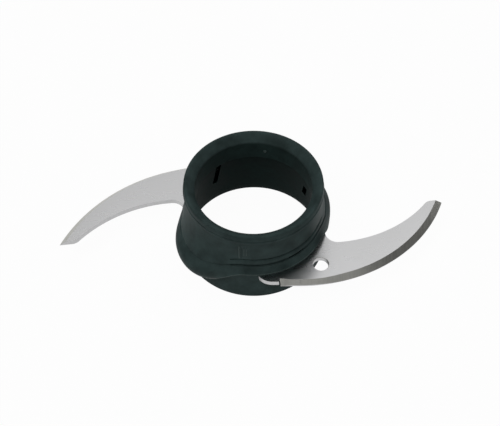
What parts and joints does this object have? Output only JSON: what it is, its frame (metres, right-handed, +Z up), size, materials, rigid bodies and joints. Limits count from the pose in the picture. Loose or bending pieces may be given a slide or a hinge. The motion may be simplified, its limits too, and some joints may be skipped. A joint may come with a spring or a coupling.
{
  "type": "food processor blade",
  "caption": "Food processor chopping knife: sickle blades set in a moulded carrier ring with a wide bore that slips over the machine's tool carrier.",
  "frame": {"origin": "on the carrier ring's axis, in the plane of its foot", "axes": "+Z up along the ring's axis; +X towards the first blade's tip, along the knife's greatest length; +Y completes a right-handed frame"},
  "size_m": [0.1712, 0.0672, 0.0399],
  "materials": {
    "ring_plastic": "black with a faint green cast, satin",
    "blade_steel": "fine satin, with a ground bevel along the convex edge"
  },
  "bodies": {
    "root": {"carrier_ring": "ring_plastic", "blade_right": "blade_steel", "blade_left": "blade_steel"}
  },
  "joints": []
}
